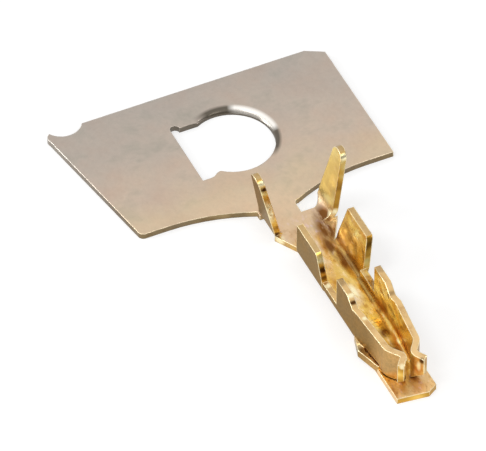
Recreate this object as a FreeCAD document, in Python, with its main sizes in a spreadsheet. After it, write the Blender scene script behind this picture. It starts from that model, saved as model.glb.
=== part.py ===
import FreeCAD, Part
import math
import os

import Sketcher

# Crimp terminal on a cut length of its carrier strip, stamped and folded from one sheet.
# Millimetres and degrees. X runs along the terminal to its tip, Y across the strip, Z up.
# The origin is the middle of the pilot hole, on the underside of the sheet.

NODE = "crimp_terminal"

SIZES = {
    "thickness": 0.32,
    "centreline": 0.77,
    "carrier_rear": 4.2,
    "carrier_front": 3.99,
    "carrier_right": 6.76,
    "carrier_left_rear": 8.02,
    "carrier_left_front": 6.68,
    "scallop_depth": 0.5,
    "scallop_right": 5.84,
    "scallop_left": 6.12,
    "scallop_left_width": 1.72,
    "lobe_bulge": 0.12,
    "carrier_corner": 0.3,
    "sweep_half_width": 5.3,
    "sweep_rise": 0.93,
    "pilot_radius": 2.12,
    "pilot_roll": 0.16,
    "pilot_roll_drop": 0.05,
    "pilot_roll_rear": 0.1,
    "pilot_roll_right": 0.08,
    "pilot_flare": 0.2,
    "pilot_slot_reach": 2.43,
    "pilot_slot_half": 1.88,
    "pilot_nose_step": 0.25,
    "pilot_nose_start": 2.0,
    "pilot_nose_end": 1.36,
    "pilot_relief_radius": 0.24,
    "neck_half_width": 0.96,
    "neck_fillet": 0.28,
    "insulation_start": 5.2,
    "insulation_length": 1.57,
    "insulation_width": 3.2,
    "insulation_lean_left": 12.5,
    "insulation_lean_right": 8.5,
    "insulation_bend_left": 0.25,
    "insulation_bend_right": 0.6,
    "insulation_height": 4.2,
    "insulation_root": 0.6,
    "insulation_rake": 0.52,
    "insulation_taper": 0.12,
    "insulation_slot_length": 0.6,
    "insulation_slot_height": 0.62,
    "heel_height": 0.95,
    "throat_length": 1.4,
    "throat_width": 3.36,
    "body_width": 2.3,
    "body_bend": 0.2,
    "wire_length": 2.8,
    "wire_lean_left": 3,
    "wire_lean_right": 14,
    "wire_height": 2.35,
    "wire_rake_rear": 0.2,
    "wire_rake_front": 0.42,
    "wire_corner": 0.15,
    "waist_length": 1.55,
    "waist_wall": 0.8,
    "box_length": 2.3,
    "box_height": 2.15,
    "box_tab_height": 2.45,
    "box_tab_length": 1.15,
    "box_dip_length": 0.55,
    "box_dip": 0.15,
    "taper_length": 2.18,
    "taper_width": 1.9,
    "taper_fall": 0.1,
    "beam_clearance": 0.06,
    "beam_bend": 0.6,
    "beam_turn": 38,
    "beam_gap": 0.3,
    "flare_bend": 0.1,
    "flare_turn": 40,
    "flare_length": 0.44,
    "flare_low": 0.95,
    "flare_drop": 0.15,
    "tongue_width": 2.1,
    "tongue_reach": 18.95,
    "tongue_slant": 0.2,
    "tongue_corner_length": 0.3,
    "tongue_corner_width": 0.5,
    "lance_start": 1.95,
    "lance_peak": 1.0,
    "lance_length": 2.35,
    "lance_reach": 0.28,
    "lance_low": 0.1,
    "lance_height": 0.42,
    "lance_slot": 0.12,
}


def add_sizes(doc):
    """Spreadsheet of the driving dimensions, one row each."""
    sheet = doc.addObject("Spreadsheet::Sheet", "size")
    for row, (name, number) in enumerate(SIZES.items(), start=1):
        sheet.set(f"A{row}", name)
        sheet.set(f"B{row}", str(number))
        sheet.setAlias(f"B{row}", name)
    doc.recompute()


def add_sketch(body, name, role, offset="0"):
    """Sketch on one of the body's own planes, moved along that plane's normal."""
    sketch = body.newObject("Sketcher::SketchObject", name)
    plane = next(item for item in body.Origin.OriginFeatures if item.Role == role)
    sketch.AttachmentSupport = [(plane, "")]
    sketch.MapMode = "FlatFace"
    sketch.setExpression("AttachmentOffset.Base.z", offset)
    return sketch


def bind(sketch, constraint, expression):
    """Constraint whose value follows an expression."""
    index = sketch.addConstraint(constraint)
    sketch.setExpression(f"Constraints[{index}]", expression)


def arc_between(start, end, radius, turn):
    """Minor arc from start to end, anticlockwise when turn is 1 and clockwise when it is -1."""
    chord = end - start
    height = math.sqrt(max(radius**2 - (chord.Length / 2) ** 2, 0))
    normal = FreeCAD.Vector(-chord.y, chord.x, 0).normalize()
    centre = (start + end) / 2 + normal * height * turn
    first, last = (start, end) if turn > 0 else (end, start)
    angles = [math.atan2(point.y - centre.y, point.x - centre.x) for point in (first, last)]
    circle = Part.Circle(centre, FreeCAD.Vector(0, 0, 1), radius)
    return Part.ArcOfCircle(circle, *angles)


def draw_outline(sketch, corners):
    """Closed outline. An arc leaves a corner that also gives its radius and turn."""
    places = []
    for corner in corners:
        across, up = (sketch.evalExpression(text) for text in corner[:2])
        places.append(FreeCAD.Vector(across, up, 0))
    ends = []
    for index, corner in enumerate(corners):
        start = places[index]
        end = places[(index + 1) % len(places)]
        if len(corner) == 2:
            edge = sketch.addGeometry(Part.LineSegment(start, end))
            ends.append((edge, 1, 2))
            continue
        radius, turn = corner[2:]
        arc = arc_between(start, end, sketch.evalExpression(radius), turn)
        edge = sketch.addGeometry(arc)
        ends.append((edge, 1, 2) if turn > 0 else (edge, 2, 1))
        bind(sketch, Sketcher.Constraint("Radius", edge, arc.Radius), radius)
    for index, (edge, first, _) in enumerate(ends):
        before, _, last = ends[index - 1]
        sketch.addConstraint(Sketcher.Constraint("Coincident", before, last, edge, first))
        place = places[index]
        along = Sketcher.Constraint("DistanceX", -1, 1, edge, first, place.x)
        up = Sketcher.Constraint("DistanceY", -1, 1, edge, first, place.y)
        bind(sketch, along, corners[index][0])
        bind(sketch, up, corners[index][1])


def draw_circle(sketch, across, up, radius):
    """Full circle with its centre at a place."""
    centre = FreeCAD.Vector(sketch.evalExpression(across), sketch.evalExpression(up), 0)
    size = sketch.evalExpression(radius)
    circle = sketch.addGeometry(Part.Circle(centre, FreeCAD.Vector(0, 0, 1), size))
    bind(sketch, Sketcher.Constraint("Radius", circle, size), radius)
    bind(sketch, Sketcher.Constraint("DistanceX", -1, 1, circle, 3, centre.x), across)
    bind(sketch, Sketcher.Constraint("DistanceY", -1, 1, circle, 3, centre.y), up)


def add_pad(body, sketch, name, length):
    """Pad along the sketch's normal."""
    pad = body.newObject("PartDesign::Pad", name)
    pad.Profile = sketch
    pad.setExpression("Length", length)
    return pad


def add_pocket(body, sketch, name, length=None):
    """Pocket against the sketch's normal, or through everything on both sides without a length."""
    body.Document.recompute()
    before = body.Shape.Volume
    pocket = body.newObject("PartDesign::Pocket", name)
    pocket.Profile = sketch
    if length is None:
        pocket.Type = "ThroughAll"
        pocket.Midplane = True
    else:
        pocket.setExpression("Length", length)
    body.Document.recompute()
    if body.Shape.Volume >= before:
        raise RuntimeError(f"{name} cuts nothing")
    return pocket


def add_groove(body, sketch, name):
    """Full turn of the sketch about its own upright axis, cut away."""
    body.Document.recompute()
    before = body.Shape.Volume
    groove = body.newObject("PartDesign::Groove", name)
    groove.Profile = sketch
    groove.ReferenceAxis = (sketch, ["V_Axis"])
    groove.Angle = 360
    body.Document.recompute()
    if body.Shape.Volume >= before:
        raise RuntimeError(f"{name} cuts nothing")


def wall_side(width, lean, height, bend):
    """Distances from the middle of a folded channel to the corners of one wall, and their heights."""
    outer_bend = f"({bend} + size.thickness)"
    tangent = f"{outer_bend} * tan(45 - {lean} / 2)"
    floor = f"({width} / 2 - {tangent})"
    foot = f"({width} / 2 + {tangent} * sin({lean}))"
    top = f"({width} / 2 + {height} * tan({lean}))"
    inner_top = f"({width} / 2 + {height} * tan({lean}) - size.thickness / cos({lean}))"
    inner_foot = f"({floor} + {bend} * cos({lean}))"
    return {
        "floor": (floor, "0"),
        "foot": (foot, f"{tangent} * cos({lean})"),
        "top": (top, height),
        "inner_top": (inner_top, height),
        "inner_foot": (inner_foot, f"{outer_bend} - {bend} * sin({lean})"),
        "inner_floor": (floor, "size.thickness"),
    }


def right_wall(width, height, bend, lean):
    """Section of the right wall and its bend, from the floor's underside to its upper side."""
    side = wall_side(width, lean, height, bend)
    arcs = {"floor": (f"{bend} + size.thickness", 1), "inner_foot": (bend, -1)}
    corners = []
    for name in ("floor", "foot", "top", "inner_top", "inner_foot", "inner_floor"):
        across, up = side[name]
        corners.append((f"size.centreline + {across}", up, *arcs.get(name, ())))
    return corners


def left_wall(width, height, bend, lean):
    """Section of the left wall and its bend, from the floor's upper side to its underside."""
    side = wall_side(width, lean, height, bend)
    arcs = {"inner_floor": (bend, -1), "foot": (f"{bend} + size.thickness", 1)}
    corners = []
    for name in ("inner_floor", "inner_foot", "inner_top", "top", "foot", "floor"):
        across, up = side[name]
        corners.append((f"size.centreline - {across}", up, *arcs.get(name, ())))
    return corners


def channel(width, height, left, right):
    """Section of a folded channel. Each side is its bend's inner radius and its wall's lean."""
    return right_wall(width, height, *right) + left_wall(width, height, *left)


# Places along the terminal, each from the one before
NECK_START = "size.carrier_front + size.sweep_rise"
INSULATION_SLOT = "size.insulation_start + size.insulation_slot_length"
INSULATION_END = "size.insulation_start + size.insulation_length"
WIRE_START = f"{INSULATION_END} + size.throat_length"
WIRE_END = f"{WIRE_START} + size.wire_length"
BOX_START = f"{WIRE_END} + size.waist_length"
TAPER_START = f"{BOX_START} + size.box_length"
BEAM_START = f"{TAPER_START} + size.taper_length"


def sweep_radius(neck):
    """Radius of the front edge's long curve, which meets the neck at this distance square on."""
    run = f"(size.sweep_half_width - {neck})"
    return f"({run}^2 + size.sweep_rise^2) / (2 * size.sweep_rise)"


def add_blank(body):
    """Carrier strip with its scallops and slanted cut, and the neck that leads to the terminal."""
    sketch = add_sketch(body, "blank_outline", "XY_Plane")
    neck_left = "size.neck_half_width"
    neck_right = "(size.neck_half_width + size.neck_fillet)"
    scallop_half = "(size.scallop_left_width / 2)"
    scallop_radius = f"({scallop_half}^2 + size.scallop_depth^2) / (2 * size.scallop_depth)"
    scallop_floor = "size.scallop_depth - size.carrier_rear"
    lobe_width = "(size.carrier_left_rear - size.scallop_left - size.scallop_left_width)"
    lobe_chord = f"(size.scallop_depth^2 + {lobe_width}^2)"
    lobe_radius = f"({lobe_chord} / 4 + size.lobe_bulge^2) / (2 * size.lobe_bulge)"
    skew = ("atan((size.carrier_left_rear - size.carrier_left_front)"
            " / (size.carrier_front + size.carrier_rear - size.scallop_depth))")
    tangent = f"(size.carrier_corner * tan(45 deg - {skew} / 2))"
    draw_outline(sketch, [
        ("-size.carrier_rear", "-size.scallop_left"),
        ("-size.carrier_rear", "size.scallop_right"),
        (scallop_floor, "size.carrier_right"),
        ("size.carrier_front", "size.carrier_right"),
        ("size.carrier_front", "size.sweep_half_width", sweep_radius(neck_right), 1),
        (NECK_START, neck_right, "size.neck_fillet", 1),
        (f"{NECK_START} + size.neck_fillet", "size.neck_half_width"),
        (INSULATION_SLOT, "size.neck_half_width"),
        (INSULATION_SLOT, "0"),
        ("size.insulation_start", "0"),
        ("size.insulation_start", "-size.neck_half_width"),
        (NECK_START, f"-{neck_left}", sweep_radius(neck_left), 1),
        ("size.carrier_front", "-size.sweep_half_width"),
        ("size.carrier_front", f"{tangent} - size.carrier_left_front", "size.carrier_corner", -1),
        (f"size.carrier_front - {tangent} * cos({skew})",
         f"-size.carrier_left_front - {tangent} * sin({skew})"),
        (scallop_floor, "-size.carrier_left_rear", lobe_radius, -1),
        ("-size.carrier_rear", "-size.scallop_left - size.scallop_left_width",
         scallop_radius, 1),
    ])
    add_pad(body, sketch, "blank", "size.thickness")


def add_pilot_hole(body):
    """Round pilot hole that opens into a slot with a relief in one corner, and its rolled rim."""
    sketch = add_sketch(body, "pilot_hole_outline", "XY_Plane", "size.thickness")
    draw_circle(sketch, "0", "0", "size.pilot_radius")
    add_pocket(body, sketch, "pilot_hole", "size.thickness")
    sketch = add_sketch(body, "pilot_slot_outline", "XY_Plane", "size.thickness")
    nose_half = "(size.pilot_nose_start - size.pilot_nose_end) / 2"
    nose_radius = f"(({nose_half})^2 + size.pilot_nose_step^2 / 4) / size.pilot_nose_step"
    narrow_half = "size.pilot_slot_half - size.pilot_nose_step"
    draw_outline(sketch, [
        ("-size.pilot_slot_half", "-size.pilot_slot_reach"),
        ("size.pilot_slot_half", "-size.pilot_slot_reach"),
        ("size.pilot_slot_half", "-size.pilot_nose_start", nose_radius, 1),
        ("size.pilot_slot_half - size.pilot_nose_step / 2",
         f"{nose_half} - size.pilot_nose_start", nose_radius, -1),
        (narrow_half, "-size.pilot_nose_end"),
        (narrow_half, "0"),
        ("-size.pilot_slot_half", "0"),
    ])
    add_pocket(body, sketch, "pilot_slot", "size.thickness")
    sketch = add_sketch(body, "pilot_relief_outline", "XY_Plane", "size.thickness")
    corner = "size.pilot_relief_radius - size.pilot_slot_reach"
    draw_circle(sketch, "-size.pilot_slot_half", corner, "size.pilot_relief_radius")
    add_pocket(body, sketch, "pilot_relief", "size.thickness")
    sketch = add_sketch(body, "pilot_roll_outline", "XZ_Plane", "-size.pilot_roll_right")
    sketch.setExpression("AttachmentOffset.Base.x", "-size.pilot_roll_rear")
    draw_outline(sketch, [
        ("size.pilot_radius + size.pilot_roll", "size.thickness"),
        ("size.pilot_radius", "size.thickness - size.pilot_roll_drop"),
        ("size.pilot_radius - size.pilot_flare", "0"),
        ("size.pilot_radius - size.pilot_flare", "2 * size.thickness"),
        ("size.pilot_radius + size.pilot_roll", "2 * size.thickness"),
    ])
    add_groove(body, sketch, "pilot_roll")


def add_channel(body, name, start, length, section):
    """Straight folded stretch of the terminal."""
    sketch = add_sketch(body, f"{name}_section", "YZ_Plane", start)
    draw_outline(sketch, section)
    add_pad(body, sketch, name, length)


def add_throat(body):
    """Flat floor that narrows from the insulation barrel to the wire barrel."""
    sketch = add_sketch(body, "throat_outline", "XY_Plane")
    start = INSULATION_END
    bend = "(size.body_bend + size.thickness)"
    rear_half = "size.throat_width / 2"
    front_half = "size.tongue_width / 2"
    draw_outline(sketch, [
        (start, f"size.centreline - {rear_half}"),
        (f"{WIRE_START} - size.thickness", f"size.centreline - {front_half}"),
        (f"{WIRE_START} + {bend}", f"size.centreline - {front_half} + {bend}"),
        (f"{WIRE_START} + {bend}", f"size.centreline + {front_half} - {bend}"),
        (f"{WIRE_START} - size.thickness", f"size.centreline + {front_half}"),
        (start, f"size.centreline + {rear_half}"),
    ])
    add_pad(body, sketch, "throat", "size.thickness")


def add_insulation_barrel(body):
    """Two tall fingers, wide at the root, that taper to round tips, and the left one's heel."""
    left = ("size.insulation_bend_left", "size.insulation_lean_left")
    right = ("size.insulation_bend_right", "size.insulation_lean_right")
    add_channel(body, "insulation_barrel", "size.insulation_start", "size.insulation_length",
                channel("size.insulation_width", "size.insulation_height", left, right))
    add_channel(body, "heel", NECK_START, f"size.insulation_start - ({NECK_START})",
                left_wall("size.insulation_width", "size.insulation_height", *left))
    sketch = add_sketch(body, "insulation_slot_outline", "XZ_Plane", "-size.neck_half_width")
    draw_outline(sketch, [
        ("size.insulation_start", "0"),
        (INSULATION_SLOT, "0"),
        (INSULATION_SLOT, "size.thickness"),
        ("size.insulation_start", "size.insulation_slot_height"),
    ])
    add_pocket(body, sketch, "insulation_slot", "size.insulation_width")
    sketch = add_sketch(body, "insulation_finger_outline", "XZ_Plane")
    front = INSULATION_END
    past = "size.insulation_height + size.thickness"
    rear_top = "size.insulation_start + size.insulation_rake"
    front_top = f"{front} - size.insulation_taper"
    tip_radius = f"(({front_top} - ({rear_top})) / 2)"
    shoulder = f"size.insulation_height - {tip_radius}"
    draw_outline(sketch, [
        (NECK_START, "size.thickness"),
        ("size.insulation_start", "size.heel_height"),
        (rear_top, shoulder, tip_radius, -1),
        (f"{rear_top} + {tip_radius}", "size.insulation_height", tip_radius, -1),
        (front_top, shoulder),
        (front, "size.insulation_root"),
        (f"{front} + size.thickness", "size.insulation_root"),
        (f"{front} + size.thickness", past),
        (NECK_START, past),
    ])
    add_pocket(body, sketch, "insulation_fingers")


def add_wire_barrel(body):
    """Two broad wings, the right one bent further out, a little narrower at the top."""
    section = channel("size.body_width", "size.wire_height",
                      ("size.body_bend", "size.wire_lean_left"),
                      ("size.body_bend", "size.wire_lean_right"))
    add_channel(body, "wire_barrel", WIRE_START, "size.wire_length", section)
    sketch = add_sketch(body, "wire_wing_outline", "XZ_Plane")
    past = "size.wire_height + size.thickness"
    front = f"{WIRE_END} - size.wire_rake_front"
    draw_outline(sketch, [
        (WIRE_START, "size.waist_wall"),
        (f"{WIRE_START} + size.wire_rake_rear", "size.wire_height"),
        (f"{front} - size.wire_corner", "size.wire_height"),
        (front, "size.wire_height - size.wire_corner"),
        (WIRE_END, "size.waist_wall"),
        (WIRE_END, past),
        (WIRE_START, past),
    ])
    add_pocket(body, sketch, "wire_wings")


def add_contact_box(body):
    """Upright walls with a raised tab at the rear, which close in on the pin further forward."""
    upright = ("size.body_bend", "0")
    low = channel("size.body_width", "size.waist_wall", upright, upright)
    add_channel(body, "waist", WIRE_END, "size.waist_length", low)
    wide = channel("size.body_width", "size.box_tab_height", upright, upright)
    add_channel(body, "contact_box", BOX_START, "size.box_length", wide)
    rear = add_sketch(body, "taper_rear_section", "YZ_Plane", TAPER_START)
    draw_outline(rear, wide)
    front = add_sketch(body, "taper_front_section", "YZ_Plane", BEAM_START)
    draw_outline(front, channel("size.taper_width", "size.box_tab_height", upright, upright))
    loft = body.newObject("PartDesign::AdditiveLoft", "taper")
    loft.Profile = rear
    loft.Sections = [front]
    loft.Ruled = True


def trim_box_walls(body):
    """Top edge of the walls: tab, dip, shoulder and a gentle fall to the beams."""
    sketch = add_sketch(body, "box_wall_outline", "XZ_Plane")
    tab_end = f"{BOX_START} + size.box_tab_length"
    dip = f"{tab_end} + size.box_dip_length"
    over = "size.box_tab_height + size.thickness"
    flare_end = f"{BEAM_START} + size.taper_length"
    fallen = "size.box_height - size.taper_fall"
    draw_outline(sketch, [
        (tab_end, "size.box_tab_height"),
        (dip, "size.box_height - size.box_dip"),
        (f"{dip} + size.box_dip_length", "size.box_height"),
        (BEAM_START, fallen),
        (flare_end, fallen),
        (flare_end, over),
        (tab_end, over),
    ])
    add_pocket(body, sketch, "box_wall_top")


def beam_bends():
    """Middles of a beam's two bends in plan, along the terminal and out from its centreline."""
    inner = "(size.flare_bend + size.thickness)"
    root_out = "(size.taper_width / 2 - size.thickness - size.beam_bend)"
    crest_out = f"(size.beam_gap / 2 + {inner})"
    crest = (f"{BEAM_START} + (size.beam_bend + {inner}) / sin(size.beam_turn)"
             f" + ({root_out} - {crest_out}) / tan(size.beam_turn)")
    return (BEAM_START, root_out), (crest, crest_out)


def add_beam(body, name, side):
    """Spring beam: the wall runs on, closes in on the pin and flares out again at its tip."""
    sketch = add_sketch(body, f"{name}_outline", "XY_Plane", "size.thickness + size.beam_clearance")
    (root, root_out), (crest, crest_out) = beam_bends()
    turn, flare = "size.beam_turn", "size.flare_turn"
    turn_sign = 1 if side == "+" else -1
    bend = "size.beam_bend"
    outer_bend = f"({bend} + size.thickness)"
    crest_bend = "size.flare_bend"
    inner_crest_bend = f"({crest_bend} + size.thickness)"
    tip = f"size.flare_length * cos({flare})"
    tip_out = f"size.flare_length * sin({flare})"

    def at(along, out, *arc):
        return (along, f"size.centreline {side} ({out})", *arc)

    def on_root(radius, *arc):
        return at(f"{root} + {radius} * sin({turn})", f"{root_out} + {radius} * cos({turn})", *arc)

    def before_crest(radius, *arc):
        return at(f"{crest} - {radius} * sin({turn})", f"{crest_out} - {radius} * cos({turn})", *arc)

    def after_crest(radius, *arc):
        return at(f"{crest} + {radius} * sin({flare})", f"{crest_out} - {radius} * cos({flare})",
                  *arc)

    def at_tip(radius):
        return at(f"{crest} + {radius} * sin({flare}) + {tip}",
                  f"{crest_out} - {radius} * cos({flare}) + {tip_out}")

    draw_outline(sketch, [
        at(root, f"{root_out} + {bend}", bend, -turn_sign),
        on_root(bend),
        before_crest(inner_crest_bend, inner_crest_bend, turn_sign),
        after_crest(inner_crest_bend),
        at_tip(inner_crest_bend),
        at_tip(crest_bend),
        after_crest(crest_bend, crest_bend, -turn_sign),
        before_crest(crest_bend),
        on_root(outer_bend, outer_bend, turn_sign),
        at(root, f"{root_out} + {outer_bend}"),
    ])
    height = "size.box_tab_height - size.thickness - size.beam_clearance"
    add_pad(body, sketch, name, height)


def trim_beam_tips(body):
    """The beams' lower edge rises and their upper edge falls towards the flared tips."""
    crest = beam_bends()[1][0]
    tip = (f"{crest} + (size.flare_bend + size.thickness) * sin(size.flare_turn)"
           " + size.flare_length * cos(size.flare_turn)")
    sketch = add_sketch(body, "beam_tip_outline", "XZ_Plane")
    past = f"{tip} + size.thickness"
    fallen = "size.box_height - size.taper_fall"
    draw_outline(sketch, [
        (crest, "0"),
        (past, "0"),
        (past, fallen),
        (crest, fallen),
        (tip, f"{fallen} - size.flare_drop"),
        (tip, "size.flare_low"),
        (crest, "size.thickness + size.beam_clearance"),
    ])
    add_pocket(body, sketch, "beam_tips")


def add_tongue(body):
    """Flat floor that runs out past the walls, cut a little askew and clipped at one corner."""
    sketch = add_sketch(body, "tongue_outline", "XY_Plane")
    left = "size.centreline - size.tongue_width / 2"
    right = "size.centreline + size.tongue_width / 2"
    reach = "size.tongue_reach + size.tongue_slant"
    draw_outline(sketch, [
        (TAPER_START, left),
        ("size.tongue_reach", left),
        (reach, f"{right} - size.tongue_corner_width"),
        (f"{reach} - size.tongue_corner_length", right),
        (TAPER_START, right),
    ])
    add_pad(body, sketch, "tongue", "size.thickness")


def add_lance(body):
    """Locking lance: a low strip of the left wall, sheared along its top and bowed outwards."""
    outer = "size.centreline - size.body_width / 2"
    start = f"{BOX_START} + size.lance_start"
    peak = f"{start} + size.lance_peak"
    end = f"{start} + size.lance_length"
    top = "size.lance_low + size.lance_height"
    sketch = add_sketch(body, "lance_window_outline", "XZ_Plane", f"size.lance_reach - ({outer})")
    draw_outline(sketch, [
        (peak, "size.lance_low + size.lance_slot"),
        (end, "size.lance_low + size.lance_slot"),
        (end, f"{top} + size.lance_slot"),
        (peak, f"{top} + size.lance_slot"),
    ])
    add_pocket(body, sketch, "lance_window", "size.lance_reach + 2 * size.thickness")
    sketch = add_sketch(body, "lance_outline", "XY_Plane", "size.lance_low")
    draw_outline(sketch, [
        (start, outer),
        (peak, f"{outer} - size.lance_reach"),
        (end, f"{outer} + size.lance_slot"),
        (end, f"{outer} + size.lance_slot + size.thickness"),
        (peak, f"{outer} - size.lance_reach + size.thickness"),
        (start, f"{outer} + size.thickness"),
    ])
    add_pad(body, sketch, "lance", "size.lance_height")


def check(doc, node):
    """Stop before writing when any feature failed or the shape isn't one sound solid."""
    for item in doc.Objects:
        if {"Invalid", "Error"} & set(item.State):
            raise RuntimeError(f"{item.Name} failed: {item.State}")
    if node.Shape.isNull() or not node.Shape.isValid() or len(node.Shape.Solids) != 1:
        raise RuntimeError(f"{node.Label} isn't one valid solid")


def main():
    doc = FreeCAD.newDocument(NODE)
    add_sizes(doc)
    body = doc.addObject("PartDesign::Body", NODE)
    body.Label = NODE
    body.Placement = FreeCAD.Placement()
    add_blank(body)
    add_pilot_hole(body)
    add_insulation_barrel(body)
    add_throat(body)
    add_wire_barrel(body)
    add_contact_box(body)
    add_beam(body, "left_beam", "-")
    add_beam(body, "right_beam", "+")
    trim_beam_tips(body)
    trim_box_walls(body)
    add_tongue(body)
    add_lance(body)
    doc.recompute()
    check(doc, body)
    os.makedirs("parts", exist_ok=True)
    body.Shape.exportStep(f"parts/{NODE}.step")
    box = body.Shape.BoundBox
    print(f"{NODE}: {box.XLength:.2f} x {box.YLength:.2f} x {box.ZLength:.2f} mm,",
          f"{len(body.Shape.Faces)} faces, {body.Shape.Volume:.2f} mm3")


main()
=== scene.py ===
import math

import bmesh
import bpy
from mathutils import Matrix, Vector
from mathutils.bvhtree import BVHTree

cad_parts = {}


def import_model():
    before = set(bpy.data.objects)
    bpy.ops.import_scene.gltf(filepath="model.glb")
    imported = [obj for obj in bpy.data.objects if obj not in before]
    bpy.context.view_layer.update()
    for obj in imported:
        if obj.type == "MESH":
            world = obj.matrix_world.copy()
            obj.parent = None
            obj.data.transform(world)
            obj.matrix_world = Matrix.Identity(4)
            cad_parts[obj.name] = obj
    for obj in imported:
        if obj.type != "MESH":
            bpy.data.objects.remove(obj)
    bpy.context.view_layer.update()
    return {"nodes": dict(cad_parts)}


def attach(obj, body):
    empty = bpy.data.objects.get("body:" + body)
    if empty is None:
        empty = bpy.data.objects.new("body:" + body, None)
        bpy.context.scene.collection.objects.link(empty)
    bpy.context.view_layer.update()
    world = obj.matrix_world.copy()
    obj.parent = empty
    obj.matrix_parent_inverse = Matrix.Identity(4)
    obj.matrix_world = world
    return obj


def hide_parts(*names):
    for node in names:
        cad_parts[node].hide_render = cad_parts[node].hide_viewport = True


# Crimp terminal on its carrier strip. Metres, in the frame of the solids:
# X runs along the terminal to its tip, Y across the strip, Z up.
# Inside the materials, places, reaches and scales are in millimetres in the same frame.

MM = 0.001

NODE = "crimp_terminal"

# The sheet, the middle of the folded channel, and where the strip ends
SHEET = 0.32 * MM
CENTRELINE = 0.77 * MM
CHANNEL_HEIGHT = 1.1 * MM
TERMINAL_START = 4.9 * MM

# Rounding of edges, angles of a sharp edge and of one flat face, distance between joined points,
# and how far the largest faces rule the shading
EDGE_ROUND = 0.07 * MM
SHARP = math.radians(32)
COPLANAR = math.radians(1)
WELD = 0.0005 * MM
AREA_WEIGHT = 100

# Order of the finishes on the piece, and the limits that sort its faces
SHEET_FACE, OUTSIDE, CUT_EDGE = range(3)
RAY_START = 0.001 * MM
THICKNESS_PLAY = 0.15 * SHEET
UPWARDS = 0.3

# Sockets of a colour mix, where a new ramp stop starts, and rays for each test of an edge or corner
MIX_FACTOR, MIX_FIRST, MIX_SECOND, MIX_RESULT = 0, 6, 7, 2
HALFWAY = 0.5
TEST_RAYS = 8

# Plating colour along the terminal: place, then colour, on the strip's face and in the channel
FACE_COLOURS = [
    (-4.2, (0.46, 0.405, 0.355)),
    (-1.0, (0.52, 0.44, 0.37)),
    (1.5, (0.58, 0.47, 0.375)),
    (3.5, (0.64, 0.51, 0.36)),
    (5.2, (0.71, 0.54, 0.37)),
    (7.0, (0.72, 0.52, 0.32)),
    (8.6, (0.76, 0.50, 0.16)),
    (12.0, (0.80, 0.53, 0.13)),
    (17.2, (0.80, 0.52, 0.15)),
    (18.0, (0.88, 0.64, 0.32)),
]
# The same on the outside of the walls, darkened as painted shade
OUTSIDE_SHADE_COLOURS = [
    (-4.2, (0.36, 0.31, 0.26)),
    (4.0, (0.32, 0.24, 0.14)),
    (8.0, (0.27, 0.175, 0.065)),
    (15.0, (0.30, 0.18, 0.055)),
    (17.0, (0.56, 0.36, 0.14)),
]
# The same on the sheared edges
CUT_COLOURS = [
    (-4.2, (0.33, 0.295, 0.25)),
    (2.5, (0.20, 0.155, 0.105)),
    (4.6, (0.24, 0.175, 0.09)),
    (6.0, (0.58, 0.40, 0.18)),
    (11.0, (0.62, 0.42, 0.19)),
    (12.5, (0.74, 0.49, 0.21)),
    (19.0, (0.82, 0.57, 0.28)),
]
# The same as a painted highlight along the edges, where handling has also polished them
EDGE_SHEEN_COLOURS = [
    (-4.2, (0.90, 0.86, 0.80)),
    (3.0, (0.88, 0.72, 0.54)),
    (7.0, (1.0, 0.87, 0.56)),
]
WALL_GOLD = (0.96, 0.80, 0.30)
# Brown of the painted shade in the channel's hollows, ragged like tarnish
HOLLOW_SHADE_BROWN = (0.20, 0.08, 0.02)
PALE_TIN = (0.84, 0.64, 0.42)
# Cream of the painted highlights
HIGHLIGHT_CREAM = (1.0, 0.89, 0.56)
SHADOW_BROWN = (0.10, 0.04, 0.01)
EMBER_ORANGE = (0.66, 0.27, 0.05)
LANCE_GREY = (0.30, 0.22, 0.11)
# Painted shade in corners
CORNER_SHADE_TINT = (0.74, 0.55, 0.35)
# Painted shade on the far wall's sheared ends that look forwards
FAR_EDGE_SHADE_TINT = (0.62, 0.56, 0.44)
GRAZING_TINT = (0.87, 0.80, 0.69, 1)

# Noises: cycles a millimetre, detail and roughness
WANDER = (0.35, 2.0, 0.5)
FLECKS = (2.2, 3.0, 0.6)
WEAR = (1.6, 4.0, 0.65)
STRIP_CLOUD = (0.55, 5.0, 0.6)
STRIP_SPECKLE = (4.5, 4.0, 0.7)
GOLD_BLOTCH = (1.3, 2.0, 0.5)
GOLD_DABS = (3.6, 3.0, 0.6)
WAVES = (1.1, 1.0, 0.5)
GRAIN = (14.0, 3.0, 0.6)
OUTSIDE_CLOUD = (1.1, 5.0, 0.65)
OUTSIDE_SPECKLE = (7.0, 2.0, 0.7)
OUTSIDE_GRAIN = (9.0, 4.0, 0.65)
LUMPS = (1.5, 3.0, 0.6)
EDGE_PATCH = (1.3, 1.0, 0.5)
SHEAR_STREAKS = (9.0, 3.0, 0.5)

# How much quicker a noise changes along each axis
FLECK_STRETCH = (0.5, 1.6, 1.0)
BLOTCH_STRETCH = (0.7, 1.1, 0.8)
DAB_STRETCH = (0.6, 1.2, 1.0)
WAVE_STRETCH = (0.8, 1.2, 1.0)
PATCH_STRETCH = (1.0, 0.5, 1.0)
STREAK_STRETCH = (1.0, 1.0, 0.15)

# Tints that follow a noise: its value, then the tint
PLAIN = (1, 1, 1)
STRIP_TINT = [(0.3, (0.86, 0.90, 0.89)), (0.47, PLAIN), (0.7, (1, 0.95, 0.93))]
STRIP_MOTTLE = [(0.3, (0.95, 0.95, 0.95)), (0.5, PLAIN), (0.7, (1.04, 1.04, 1.04))]
BLOTCH_TINT = [(0.3, (0.68, 0.5, 0.35)), (0.43, (0.98, 0.92, 0.85)), (0.6, PLAIN),
               (0.7, (1.08, 1.14, 1.35))]
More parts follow.
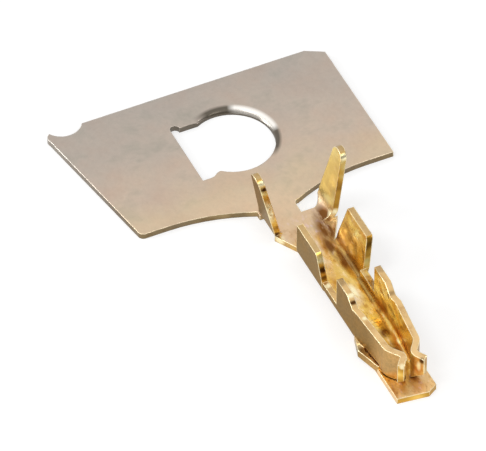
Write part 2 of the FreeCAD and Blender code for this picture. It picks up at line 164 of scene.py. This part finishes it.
# Small dark dabs, and small pale ones that are painted glints
DAB_AND_GLINT_TINT = [(0.32, (0.72, 0.60, 0.46)), (0.43, PLAIN), (0.56, PLAIN), (0.66, (1.15, 1.25, 2.2))]
OUTSIDE_TINT = [(0.3, (0.84, 0.84, 0.88)), (0.7, (1.12, 1.06, 1))]
OUTSIDE_MOTTLE = [(0.3, (0.84, 0.84, 0.84)), (0.5, PLAIN), (0.7, (1.14, 1.14, 1.2))]
EDGE_TINT = [(0.3, (0.82, 0.74, 0.68)), (0.5, PLAIN), (0.7, (1.12, 1.1, 1.1))]
# Painted shade and highlight on the sheared ends that look forwards, from dark amber to cream
FRONT_EDGE_LIGHT_COLOURS = [(0.3, (0.34, 0.17, 0.03)), (0.45, (0.68, 0.38, 0.06)), (0.6, (0.88, 0.56, 0.12)),
                 (0.72, (1.0, 0.86, 0.4))]

# Ranges of noises, masks and places
WHOLE = (0, 1)
REVERSED = (1, 0)
MIDTONES = (0.3, 0.7)
WANDER_REACH = (-0.9, 0.9)
SPOT_FADE = (1.25, 0.45)
FLECK_RANGE = (0.26, 0.48)
FLECK_SHARE = (0.25, 1.0)
WEAR_RANGE = (0.32, 0.52)
WEAR_SHARE = (0.3, 1.0)
EDGE_TURN = (0.995, 0.93)
EDGE_OPENNESS = (0.6, 0.9)
CORNER_OPENNESS = (0.15, 0.55)
CORNER_REACH = 0.6 * MM
GOLD_PLACES = (5.6, 8.0)
WAVE_PLACES = (5.0, 8.0)
WAVE_SHARE = (0.1, 1.0)
TONGUE_PLACES = (17.5, 18.0)
CUT_GOLD_PLACES = (5.2, 5.6)
FAR_WALL_PLACES = (0.8, 1.6)
WALL_HEIGHTS = (0.5, 1.0)
FORWARDS = (0.35, 0.75)

# Roughness of each finish
STRIP_SATIN = (0.3, 0.4)
GOLD_GLOSS = (0.32, 0.22)
TONGUE_SATIN = 0.5
OUTSIDE_SATIN = (0.36, 0.48)
CUT_GLOSS = (0.22, 0.4)

# Bumps: strength, then depth in metres
WAVE_BUMP = (1.0, 0.22 * MM)
RIDGE_BUMP = (0.5, 0.02 * MM)
GRAIN_BUMP = (0.05, 0.01 * MM)
OUTSIDE_BUMP = (0.3, 0.015 * MM)
LUMP_BUMP = (0.6, 0.1 * MM)
STREAK_BUMP = (0.1, 0.02 * MM)

# The pilot hole's rolled rim, with a painted highlight on one side and painted shade on the other: the
# side that gets the painted highlight, and the directions it is measured in
PILOT_MIDDLE = (-0.1, 0.08, 0.0)
PILOT_RADIUS = 2.12
SHINING_SIDE = (-0.53, 0.85, 0.0)
ACROSS_SHEET = (1, 1, 0)
RIM_SHINE = (1.0, 0.96, 0.90)
RIM_SHADE = (0.14, 0.12, 0.095)
RIM_COLOURS = [(0.76, RIM_SHADE), (0.86, RIM_SHINE), (0.96, RIM_SHINE)]
RIM_FADE = (PILOT_RADIUS + 0.30, PILOT_RADIUS + 0.12)
RIM_DEPTH = (PILOT_RADIUS + 0.06, PILOT_RADIUS - 0.06)
DEPTH_SHARE = (0, 0.75)
RIM_SEEN = (0.0, 0.35)

# Places with a finish of their own: middle and reach of each
LANCE_SIDE = [((15.4, -0.6, 0.2), (0.95, 0.35, 0.5))]
# Sheared edges round the pilot hole, painted in shade and kept clear of the painted edge highlight
PILOT_EDGES = [((-0.3, 0.0, 0.0), (4.0, 4.0, 4.0))]
# Brown painted shade in the hollows where the channel's walls rise, ragged like tarnish
HOLLOW_SHADE_STAINS = [
    ((6.5, 1.8, 0.4), (0.7, 0.45, 0.5)),
    ((7.4, 1.55, 0.35), (1.1, 0.5, 0.5)),
    ((8.5, 1.2, 0.35), (0.8, 0.25, 0.4)),
    ((9.5, 1.35, 0.35), (1.0, 0.3, 0.4)),
    ((14.8, 1.1, 0.35), (0.4, 0.3, 0.4)),
    ((15.9, 1.25, 0.4), (0.6, 0.4, 0.5)),
    ((16.9, 0.8, 0.4), (0.5, 0.5, 0.5)),
]
PALE_PATCHES = [
    ((8.4, 0.45, 0.35), (1.8, 0.35, 0.3)),
    ((11.9, 0.7, 0.35), (0.8, 0.5, 0.3)),
    ((13.6, 0.4, 0.35), (1.0, 0.3, 0.3)),
    ((16.3, 0.3, 0.35), (0.5, 0.35, 0.3)),
]
# Orange patches on the right spring beam's tip and at the foot of the right wall
EMBERS = [
    ((18.3, 1.1, 1.4), (0.35, 0.35, 0.75)),
    ((15.6, 1.45, 0.45), (0.7, 0.3, 0.4)),
]
# Small painted highlights and spots of painted shade on bends and sheared ends
PAINTED_HIGHLIGHTS = [
    ((6.7, -1.2, 2.0), (0.3, 0.4, 0.75)),
    ((6.65, -1.45, 3.95), (0.3, 0.3, 0.16)),
    ((7.0, -0.75, 0.2), (0.3, 0.25, 0.2)),
    ((6.7, 2.9, 3.95), (0.3, 0.3, 0.2)),
    ((6.75, 2.2, 0.6), (0.25, 0.3, 0.25)),
    ((10.6, -0.2, 1.95), (0.2, 0.3, 0.14)),
    ((11.25, -0.25, 0.78), (0.16, 0.2, 0.1)),
    ((11.25, 1.95, 0.8), (0.25, 0.3, 0.2)),
    ((11.7, 0.95, 0.35), (0.5, 0.14, 0.2)),
    ((13.7, -0.2, 2.4), (0.12, 0.3, 0.14)),
    ((15.1, -0.15, 2.14), (0.12, 0.14, 0.1)),
    ((15.6, 1.45, 0.4), (0.2, 0.14, 0.2)),
    ((18.45, 0.2, 1.85), (0.14, 0.14, 0.14)),
    ((18.35, 1.13, 1.38), (0.10, 0.14, 0.30)),
    ((18.6, 1.33, 1.3), (0.08, 0.12, 0.36)),
]
PAINTED_SHADE_SPOTS = [
    ((6.65, -1.38, 3.6), (0.3, 0.3, 0.16)),
    ((6.77, -0.85, 0.42), (0.3, 0.3, 0.16)),
    ((10.78, -0.25, 1.45), (0.25, 0.3, 0.2)),
    ((11.05, -0.25, 1.05), (0.25, 0.3, 0.14)),
    ((14.0, -0.2, 2.2), (0.12, 0.3, 0.12)),
    ((14.05, 1.75, 1.95), (0.14, 0.3, 0.2)),
    ((18.38, 0.4, 0.9), (0.15, 0.15, 0.2)),
    ((18.47, 1.22, 1.8), (0.14, 0.14, 0.2)),
]
# Fine ridges across the floor of the contact box, and how far apart they are
RIDGES = [((14.3, 0.5, 0.32), (1.0, 0.6, 0.2))]
RIDGE_PITCH = 0.2

# The photograph's view: frame in pixels, the point at its middle, and the camera's direction from it
FRAME_WIDTH = 486
PIXELS_PER_MM = 20.8
LOOK_AT = Vector((5.17, -1.84, 0)) * MM
TOWARDS_CAMERA = Vector((0.637, -0.298, 0.711)).normalized()
CAMERA_DISTANCE = 400 * MM
SENSOR = 36
NEAREST_SEEN = 10 * MM
FARTHEST_SEEN = 20

# The studio: floor, surroundings, and lamps by direction, size and watts
FLOOR_SIZE = 4
FLOOR_GREY = (0.5, 0.5, 0.5, 1)
FLOOR_GLOW = 0.62
DARK_SIDE = (0.80, 0.48, -0.35)
SURROUNDINGS = [(0.1, PLAIN), (0.65, (0.25, 0.25, 0.25))]
SEEN_STRENGTH = 1.0
UNSEEN_STRENGTH = 0.6
LAMP_DISTANCE = 200 * MM
LAMPS = {
    "key": ((0.1, -0.6, 1.0), 60 * MM, 0.06),
    "front": ((0.71, 0.30, 0.64), 60 * MM, 0.05),
    "left": ((-0.36, -0.85, 0.38), 80 * MM, 0.12),
    "right": ((0.2, 0.9, 0.7), 25 * MM, 0.02),
    "front_left": ((0.6, -0.8, 0.5), 25 * MM, 0.02),
}


def add_piece(frame):
    """Copy of the folded sheet that shades flat on its flat faces and smoothly round its bends."""
    node = frame["nodes"][NODE]
    mesh = bpy.data.meshes.new("terminal")
    work = bmesh.new()
    work.from_mesh(node.data)
    bmesh.ops.remove_doubles(work, verts=work.verts, dist=WELD)
    bmesh.ops.dissolve_limit(work, angle_limit=COPLANAR, verts=work.verts, edges=work.edges)
    work.to_mesh(mesh)
    work.free()
    piece = bpy.data.objects.new("terminal", mesh)
    bpy.context.collection.objects.link(piece)
    mesh.shade_smooth()
    mesh.set_sharp_from_angle(angle=SHARP)
    flat = piece.modifiers.new("flat_faces", "WEIGHTED_NORMAL")
    flat.mode = "FACE_AREA"
    flat.weight = AREA_WEIGHT
    flat.keep_sharp = True
    return piece


def mark_finishes(piece):
    """A face with one sheet of metal behind it is the sheet's own, and any other is a sheared edge.

    The pilot hole's rolled rim is thinner, and on the strip a face that looks up is the sheet's own.
    """
    mesh = piece.data
    tree = BVHTree.FromPolygons([vertex.co for vertex in mesh.vertices],
                                [tuple(face.vertices) for face in mesh.polygons])
    middle = Vector((0, CENTRELINE, CHANNEL_HEIGHT))
    for face in mesh.polygons:
        start = face.center - face.normal * RAY_START
        distance = tree.ray_cast(start, -face.normal)[3]
        outwards = face.center - middle
        outwards.x = 0
        if face.center.x < TERMINAL_START and face.normal.z > UPWARDS:
            face.material_index = SHEET_FACE
        elif distance is None or abs(distance - SHEET) > THICKNESS_PLAY:
            face.material_index = CUT_EDGE
        elif face.center.x > TERMINAL_START and face.normal.dot(outwards) > 0:
            face.material_index = OUTSIDE
        else:
            face.material_index = SHEET_FACE


def add(tree, kind, inputs=None, **settings):
    """New node with its settings, and its inputs given as numbers, colours or other sockets."""
    made = tree.nodes.new(kind)
    for name, value in settings.items():
        setattr(made, name, value)
    for name, value in (inputs or {}).items():
        if isinstance(value, bpy.types.NodeSocket):
            tree.links.new(value, made.inputs[name])
        else:
            made.inputs[name].default_value = value
    return made


def calculate(tree, operation, first, second=None):
    """Result of a sum on one or two numbers."""
    inputs = {0: first} if second is None else {0: first, 1: second}
    return add(tree, "ShaderNodeMath", inputs, operation=operation).outputs["Value"]


def calculate_vector(tree, operation, first, second=None, output="Vector"):
    """Result of a sum on one or two vectors."""
    inputs = {0: first} if second is None else {0: first, 1: second}
    return add(tree, "ShaderNodeVectorMath", inputs, operation=operation).outputs[output]


def mix_colours(tree, factor, first, second, blend="MIX"):
    """Blend of two colours."""
    mix = add(tree, "ShaderNodeMix", data_type="RGBA", blend_type=blend)
    for index, value in ((MIX_FACTOR, factor), (MIX_FIRST, first), (MIX_SECOND, second)):
        if isinstance(value, bpy.types.NodeSocket):
            tree.links.new(value, mix.inputs[index])
        elif isinstance(value, tuple):
            mix.inputs[index].default_value = (*value, 1)
        else:
            mix.inputs[index].default_value = value
    return mix.outputs[MIX_RESULT]


def tinted(tree, colour, tint):
    """Colour multiplied by a tint."""
    return mix_colours(tree, 1.0, colour, tint, "MULTIPLY")


def ramp(tree, factor, stops):
    """Colour ramp from stops of place and colour."""
    made = add(tree, "ShaderNodeValToRGB", {"Fac": factor})
    elements = made.color_ramp.elements
    while len(elements) < len(stops):
        elements.new(HALFWAY)
    for element, (place, colour) in zip(elements, stops):
        element.position = place
        element.color = (*colour, 1)
    return made.outputs["Color"]


def remap(tree, value, old, new=WHOLE):
    """Value moved from one range to another."""
    made = add(tree, "ShaderNodeMapRange", {"Value": value, "From Min": old[0], "From Max": old[1],
                                            "To Min": new[0], "To Max": new[1]})
    return made.outputs["Result"]


def noise(tree, place, texture, stretch=None):
    """Cloudy noise, quicker along some axes than along others where it has a stretch."""
    scale, detail, roughness = texture
    if stretch is not None:
        place = calculate_vector(tree, "MULTIPLY", place, stretch)
    made = add(tree, "ShaderNodeTexNoise", {"Vector": place, "Scale": scale, "Detail": detail,
                                            "Roughness": roughness})
    return made.outputs["Fac"]


def axes(tree, vector):
    """A vector's three parts."""
    return add(tree, "ShaderNodeSeparateXYZ", {"Vector": vector}).outputs


def along(tree, place, stops):
    """Colour that follows the terminal's length, its borders a little uneven."""
    first, last = stops[0][0], stops[-1][0]
    shift = remap(tree, noise(tree, place, WANDER), MIDTONES, WANDER_REACH)
    moved = calculate(tree, "ADD", axes(tree, place)["X"], shift)
    share = remap(tree, moved, (first, last))
    return ramp(tree, share, [((x - first) / (last - first), colour) for x, colour in stops])


def spots(tree, place, places):
    """Soft mask over a few spots, each a middle and a reach."""
    total = None
    for middle, reach in places:
        away = calculate_vector(tree, "SUBTRACT", place, middle)
        share = calculate_vector(tree, "MULTIPLY", away, tuple(1 / part for part in reach))
        near = remap(tree, calculate_vector(tree, "LENGTH", share, output="Value"), SPOT_FADE)
        total = near if total is None else calculate(tree, "MAXIMUM", total, near)
    return total


def patches(tree, place, places):
    """Mask over a few ragged patches, each a middle and a reach."""
    broken = remap(tree, noise(tree, place, FLECKS, FLECK_STRETCH), FLECK_RANGE, FLECK_SHARE)
    return calculate(tree, "MULTIPLY", spots(tree, place, places), broken)


def with_painted_spots(tree, place, colour):
    """Colour with the small painted highlights and spots of painted shade of the bends and ends on it.
    """
    colour = mix_colours(tree, spots(tree, place, PAINTED_SHADE_SPOTS), colour, SHADOW_BROWN)
    return mix_colours(tree, spots(tree, place, PAINTED_HIGHLIGHTS), colour, HIGHLIGHT_CREAM)


def with_rim(tree, place, colour):
    """Colour with the pilot hole's rim painted in, a painted highlight on one side and painted shade on
    the other.
    """
    away = calculate_vector(tree, "SUBTRACT", place, PILOT_MIDDLE)
    flat = calculate_vector(tree, "MULTIPLY", away, ACROSS_SHEET)
    distance = calculate_vector(tree, "LENGTH", flat, output="Value")
    direction = calculate_vector(tree, "NORMALIZE", flat)
    side = calculate_vector(tree, "DOT_PRODUCT", direction, SHINING_SIDE, "Value")
    deep = remap(tree, distance, RIM_DEPTH, DEPTH_SHARE)
    # Painted highlight and painted shade of the rim
    rim = mix_colours(tree, deep, ramp(tree, side, RIM_COLOURS), RIM_SHADE)
    share = calculate(tree, "MULTIPLY", remap(tree, distance, RIM_FADE), remap(tree, side, RIM_SEEN))
    return mix_colours(tree, share, colour, rim)


def openness(tree, reach):
    """How open the surroundings of a point are, nearly none in a corner."""
    return add(tree, "ShaderNodeAmbientOcclusion", {"Distance": reach}, samples=TEST_RAYS).outputs["AO"]


def worn_edge_sheen(tree, place, colour):
    """Colour with a painted highlight along polished edges, and the normal that rounds those edges."""
    rounded = add(tree, "ShaderNodeBevel", {"Radius": EDGE_ROUND}, samples=TEST_RAYS).outputs["Normal"]
    surface = add(tree, "ShaderNodeNewGeometry").outputs["Normal"]
    turn = calculate_vector(tree, "DOT_PRODUCT", rounded, surface, "Value")
    share = remap(tree, turn, EDGE_TURN)
    outer = remap(tree, openness(tree, 2 * EDGE_ROUND), EDGE_OPENNESS)
    away_from_pilot = remap(tree, spots(tree, place, PILOT_EDGES), WHOLE, REVERSED)
    wear = remap(tree, noise(tree, place, WEAR), WEAR_RANGE, WEAR_SHARE)
    for part in (outer, away_from_pilot, wear):
        share = calculate(tree, "MULTIPLY", share, part)
    # Painted highlight along the edges
    return mix_colours(tree, share, colour, along(tree, place, EDGE_SHEEN_COLOURS)), rounded


def start_plating(name):
    """Metal material, its node tree, its shader and the place on the piece in millimetres."""
    material = bpy.data.materials.new(name)
    material.use_nodes = True
    tree = material.node_tree
    shader = tree.nodes["Principled BSDF"]
    shader.inputs["Metallic"].default_value = 1.0
    metres = add(tree, "ShaderNodeTexCoord").outputs["Object"]
    place = calculate_vector(tree, "MULTIPLY", metres, (1 / MM, 1 / MM, 1 / MM))
    return material, tree, shader, place


def finish_plating(tree, shader, place, colour, roughness, bumps):
    """Colour with painted highlights on worn edges, roughness and a chain of bumps, each a height and
    its bump.
    """
    colour, normal = worn_edge_sheen(tree, place, colour)
    tree.links.new(colour, shader.inputs["Base Color"])
    tree.links.new(roughness, shader.inputs["Roughness"])
    for height, (strength, depth) in bumps:
        bump = add(tree, "ShaderNodeBump", {"Height": height, "Strength": strength,
                                            "Distance": depth, "Normal": normal})
        normal = bump.outputs["Normal"]
    tree.links.new(normal, shader.inputs["Normal"])


def plated_gold(tree, place, colour, blotch):
    """Colour of the bright plating, with blotches, small dark dabs and small pale painted glints."""
    blotched = tinted(tree, colour, ramp(tree, blotch, BLOTCH_TINT))
    dabs = noise(tree, place, GOLD_DABS, DAB_STRETCH)
    return tinted(tree, blotched, ramp(tree, dabs, DAB_AND_GLINT_TINT))


def with_tarnish_and_painted_light(tree, place, colour):
    """Colour with pale and orange patches, painted shade in the channel's hollows and corners, and the
    painted spots and rim.
    """
    for places, patch_colour in ((PALE_PATCHES, PALE_TIN), (HOLLOW_SHADE_STAINS, HOLLOW_SHADE_BROWN), (EMBERS, EMBER_ORANGE)):
        colour = mix_colours(tree, patches(tree, place, places), colour, patch_colour)
    colour = with_painted_spots(tree, place, colour)
    colour = with_rim(tree, place, colour)
    # Painted shade in corners, where the surroundings are least open
    open_air = remap(tree, openness(tree, CORNER_REACH), CORNER_OPENNESS)
    return mix_colours(tree, open_air, tinted(tree, colour, CORNER_SHADE_TINT), colour)


def floor_ridges(tree, place):
    """Height of the fine ridges across the floor of the contact box."""
    turns = calculate(tree, "MULTIPLY", axes(tree, place)["X"], math.tau / RIDGE_PITCH)
    return calculate(tree, "MULTIPLY", calculate(tree, "SINE", turns), spots(tree, place, RIDGES))


def sheet_face():
    """Strip and inside of the channel: cloudy grey tin that turns to bright gold, with painted shade
    and painted highlights on it.
    """
    material, tree, shader, place = start_plating("plated_sheet")
    parts = axes(tree, place)
    on_terminal = remap(tree, parts["X"], GOLD_PLACES)
    cloud = noise(tree, place, STRIP_CLOUD)
    blotch = noise(tree, place, GOLD_BLOTCH, BLOTCH_STRETCH)
    strip = tinted(tree, along(tree, place, FACE_COLOURS), ramp(tree, cloud, STRIP_TINT))
    strip = tinted(tree, strip, ramp(tree, noise(tree, place, STRIP_SPECKLE), STRIP_MOTTLE))
    strip = mix_colours(tree, remap(tree, parts["Z"], WALL_HEIGHTS), strip, WALL_GOLD)
    colour = mix_colours(tree, on_terminal, strip, plated_gold(tree, place, strip, blotch))
    colour = with_tarnish_and_painted_light(tree, place, colour)
    satin = remap(tree, cloud, MIDTONES, STRIP_SATIN)
    gloss = remap(tree, blotch, MIDTONES, GOLD_GLOSS)
    rough = add(tree, "ShaderNodeMix", {"Factor": on_terminal, "A": satin, "B": gloss})
    on_tongue = remap(tree, parts["X"], TONGUE_PLACES)
    rough = add(tree, "ShaderNodeMix", {"Factor": on_tongue, "A": rough.outputs["Result"],
                                        "B": TONGUE_SATIN})
    waves = calculate(tree, "MULTIPLY", noise(tree, place, WAVES, WAVE_STRETCH),
                      remap(tree, parts["X"], WAVE_PLACES, WAVE_SHARE))
    bumps = [(waves, WAVE_BUMP), (floor_ridges(tree, place), RIDGE_BUMP),
             (noise(tree, place, GRAIN), GRAIN_BUMP)]
    finish_plating(tree, shader, place, colour, rough.outputs["Result"], bumps)
    return material


def shaded_outside_face():
    """Outside of the folded walls: brown gold darkened as painted shade, dull and a little grainy."""
    material, tree, shader, place = start_plating("dull_shaded_outside")
    shader.inputs["Specular Tint"].default_value = GRAZING_TINT
    cloud = noise(tree, place, OUTSIDE_CLOUD)
    speckle = noise(tree, place, OUTSIDE_SPECKLE)
    # Plating darkened as painted shade
    colour = tinted(tree, along(tree, place, OUTSIDE_SHADE_COLOURS), ramp(tree, cloud, OUTSIDE_TINT))
    colour = tinted(tree, colour, ramp(tree, speckle, OUTSIDE_MOTTLE))
    satin = remap(tree, cloud, MIDTONES, OUTSIDE_SATIN)
    bumps = [(noise(tree, place, OUTSIDE_GRAIN), OUTSIDE_BUMP)]
    finish_plating(tree, shader, place, colour, satin, bumps)
    return material


def front_edge_light_and_shade(tree, place):
    """Painted highlights and shade on the sheared ends that look forwards, with more painted shade on
    the far wall.
    """
    lit_edge = ramp(tree, noise(tree, place, EDGE_PATCH, PATCH_STRETCH), FRONT_EDGE_LIGHT_COLOURS)
    far_side = remap(tree, axes(tree, place)["Y"], FAR_WALL_PLACES)
    return mix_colours(tree, far_side, lit_edge, tinted(tree, lit_edge, FAR_EDGE_SHADE_TINT))


def cut_edge():
    """Sheared edges: grey on the strip, gold further on, with painted highlights and shade in lumps at
    the front.
    """
    material, tree, shader, place = start_plating("sheared_edge")
    lumps = noise(tree, place, LUMPS)
    colour = tinted(tree, along(tree, place, CUT_COLOURS), ramp(tree, lumps, EDGE_TINT))
    facing = add(tree, "ShaderNodeTexCoord").outputs["Normal"]
    forward = remap(tree, axes(tree, facing)["X"], FORWARDS)
    on_terminal = remap(tree, axes(tree, place)["X"], CUT_GOLD_PLACES)
    share = calculate(tree, "MULTIPLY", forward, on_terminal)
    # Painted highlights and shade on the sheared ends that look forwards
    colour = mix_colours(tree, share, colour, front_edge_light_and_shade(tree, place))
    colour = mix_colours(tree, spots(tree, place, LANCE_SIDE), colour, LANCE_GREY)
    colour = with_painted_spots(tree, place, colour)
    # Painted shade on the sheared edges round the pilot hole
    colour = mix_colours(tree, spots(tree, place, PILOT_EDGES), colour, RIM_SHADE)
    gloss = remap(tree, lumps, MIDTONES, CUT_GLOSS)
    streaks = noise(tree, place, SHEAR_STREAKS, STREAK_STRETCH)
    finish_plating(tree, shader, place, colour, gloss, [(lumps, LUMP_BUMP), (streaks, STREAK_BUMP)])
    return material


def seen_directly(tree, strength, otherwise=0.0):
    """Strength for camera, glossy and transmission rays, and another one for the rest."""
    path = add(tree, "ShaderNodeLightPath").outputs
    either = calculate(tree, "MAXIMUM", path["Is Camera Ray"], path["Is Glossy Ray"])
    any_of = calculate(tree, "MAXIMUM", either, path["Is Transmission Ray"])
    choose = add(tree, "ShaderNodeMix", {"Factor": any_of, "A": otherwise, "B": strength})
    return choose.outputs["Result"]


def add_floor():
    """Pale floor that shows white to the camera and keeps the soft shadow."""
    bpy.ops.mesh.primitive_plane_add(size=FLOOR_SIZE)
    floor = bpy.context.object
    floor.name = "floor"
    material = bpy.data.materials.new("floor")
    material.use_nodes = True
    tree = material.node_tree
    tree.nodes.clear()
    diffuse = add(tree, "ShaderNodeBsdfDiffuse", {"Color": FLOOR_GREY})
    glow = add(tree, "ShaderNodeEmission", {"Strength": seen_directly(tree, FLOOR_GLOW)})
    total = add(tree, "ShaderNodeAddShader", {0: diffuse.outputs[0], 1: glow.outputs[0]})
    add(tree, "ShaderNodeOutputMaterial", {"Surface": total.outputs[0]})
    floor.data.materials.append(material)


def add_world():
    """Pale surroundings, a little darker low on the front right."""
    world = bpy.data.worlds.new("studio")
    bpy.context.scene.world = world
    world.use_nodes = True
    tree = world.node_tree
    background = tree.nodes["Background"]
    towards = add(tree, "ShaderNodeTexCoord").outputs["Generated"]
    side = calculate_vector(tree, "DOT_PRODUCT", towards, DARK_SIDE, "Value")
    tree.links.new(ramp(tree, side, SURROUNDINGS), background.inputs["Color"])
    tree.links.new(seen_directly(tree, SEEN_STRENGTH, UNSEEN_STRENGTH), background.inputs["Strength"])


def add_lamp(name, towards, size, power):
    """Soft square lamp that faces the terminal."""
    lamp = bpy.data.lights.new(name, "AREA")
    lamp.size = size
    lamp.energy = power
    holder = bpy.data.objects.new(name, lamp)
    holder.location = LOOK_AT + Vector(towards).normalized() * LAMP_DISTANCE
    holder.rotation_euler = Vector(towards).to_track_quat("Z", "Y").to_euler()
    bpy.context.collection.objects.link(holder)


def add_camera():
    """Camera at the photograph's viewing angle."""
    data = bpy.data.cameras.new("camera")
    data.sensor_width = SENSOR
    data.lens = SENSOR * PIXELS_PER_MM / MM * CAMERA_DISTANCE / FRAME_WIDTH
    data.clip_start = NEAREST_SEEN
    data.clip_end = FARTHEST_SEEN
    camera = bpy.data.objects.new("camera", data)
    camera.location = LOOK_AT + TOWARDS_CAMERA * CAMERA_DISTANCE
    camera.rotation_euler = TOWARDS_CAMERA.to_track_quat("Z", "Y").to_euler()
    bpy.context.collection.objects.link(camera)
    bpy.context.scene.camera = camera


def main():
    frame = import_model()
    piece = add_piece(frame)
    piece.data.materials.clear()
    for material in (sheet_face(), shaded_outside_face(), cut_edge()):
        piece.data.materials.append(material)
    mark_finishes(piece)
    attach(piece, "root")
    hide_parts(NODE)
    add_floor()
    add_world()
    for name, (towards, size, power) in LAMPS.items():
        add_lamp(name, towards, size, power)
    add_camera()
    bpy.context.scene.view_settings.view_transform = "Standard"


main()
